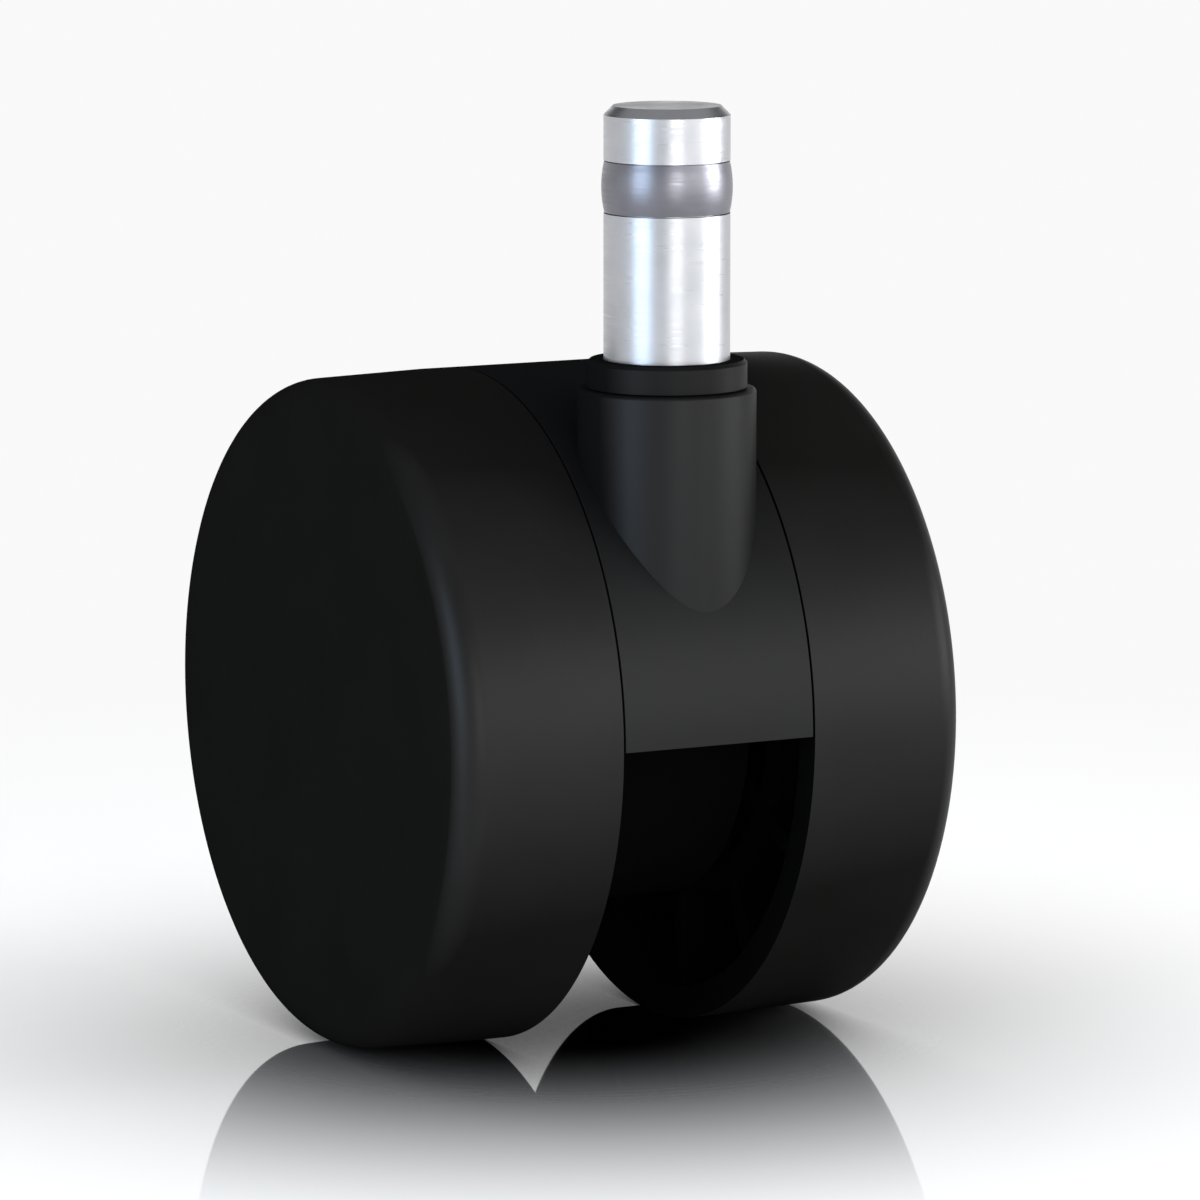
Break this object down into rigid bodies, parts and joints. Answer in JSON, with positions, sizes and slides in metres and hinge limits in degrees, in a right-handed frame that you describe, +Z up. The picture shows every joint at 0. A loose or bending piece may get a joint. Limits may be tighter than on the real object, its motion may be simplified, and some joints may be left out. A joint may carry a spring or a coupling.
{
  "type": "carpet castor",
  "caption": "Twin-wheel swivel castor with a hooded housing between two hard ribbed wheels and a plain grip-ring stem for a chair leg.",
  "frame": {"origin": "on the swivel axis, in the plane of the collar's top face, where the leg end rests", "axes": "+Z up along the stem, +X across the castor along the wheel axle, -Y towards the hood's nose, so the wheels trail towards +Y"},
  "size_m": [0.0496, 0.06, 0.0845],
  "materials": {
    "moulded_nylon": "black moulded nylon, satin",
    "hard_tread": "black hard nylon, satin, smooth",
    "collar_nylon": "black moulded nylon, satin",
    "axle_steel": "ground bright steel",
    "plated_steel": "zinc-plated turned steel",
    "spring_steel": "tempered spring steel, dull",
    "acetal": "natural white acetal"
  },
  "bodies": {
    "stem_body": {"stem": "plated_steel", "grip_ring": "spring_steel", "stem_collar": "collar_nylon", "stem_snap_ring": "spring_steel"},
    "housing_body": {"housing": "moulded_nylon", "axle": "axle_steel", "left_axle_ring": "spring_steel", "right_axle_ring": "spring_steel", "thrust_disc": "acetal"},
    "left_wheel_body": {"left_wheel": "hard_tread"},
    "right_wheel_body": {"right_wheel": "hard_tread"}
  },
  "joints": [
    {"name": "swivel", "type": "hinge", "parent": "stem_body", "child": "housing_body", "pos_m": [0, 0, 0], "axis": [0, 0, 1], "continuous": true},
    {"name": "left_wheel_spin", "type": "hinge", "parent": "housing_body", "child": "left_wheel_body", "pos_m": [0, 0.02, -0.0325], "axis": [1, 0, 0], "continuous": true},
    {"name": "right_wheel_spin", "type": "hinge", "parent": "housing_body", "child": "right_wheel_body", "pos_m": [0, 0.02, -0.0325], "axis": [1, 0, 0], "continuous": true}
  ]
}
